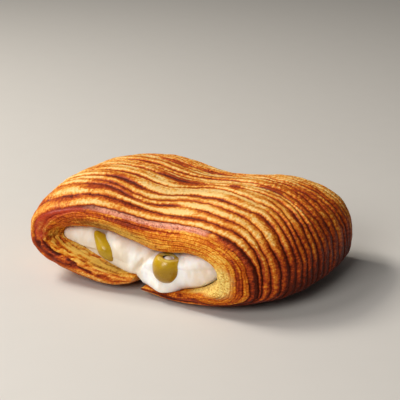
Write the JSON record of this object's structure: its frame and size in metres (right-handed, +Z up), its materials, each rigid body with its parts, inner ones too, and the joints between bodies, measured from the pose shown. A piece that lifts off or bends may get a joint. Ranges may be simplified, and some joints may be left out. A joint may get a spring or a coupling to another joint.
{
  "type": "pain suisse",
  "caption": "Savoury pain suisse: a ribbed strip of laminated dough folded round a white cream filling set with green olives, open at the front and back.",
  "frame": {"origin": "on the table, under the middle of the bounding box", "axes": "+X along the folded roll towards its right-hand end as seen from the front opening, +Y from the front opening to the back one, +Z up"},
  "size_m": [0.1324, 0.0964, 0.0454],
  "materials": {
    "crust": "baked laminated dough, golden brown, lightly glazed",
    "cream": "soft white cream, satin",
    "olive": "wet green olive skin"
  },
  "bodies": {
    "root": {"pastry": "crust", "cream_filling": "cream", "olive_left": "olive", "olive_right": "olive", "olive_back_left": "olive", "olive_back_right": "olive"}
  },
  "joints": []
}
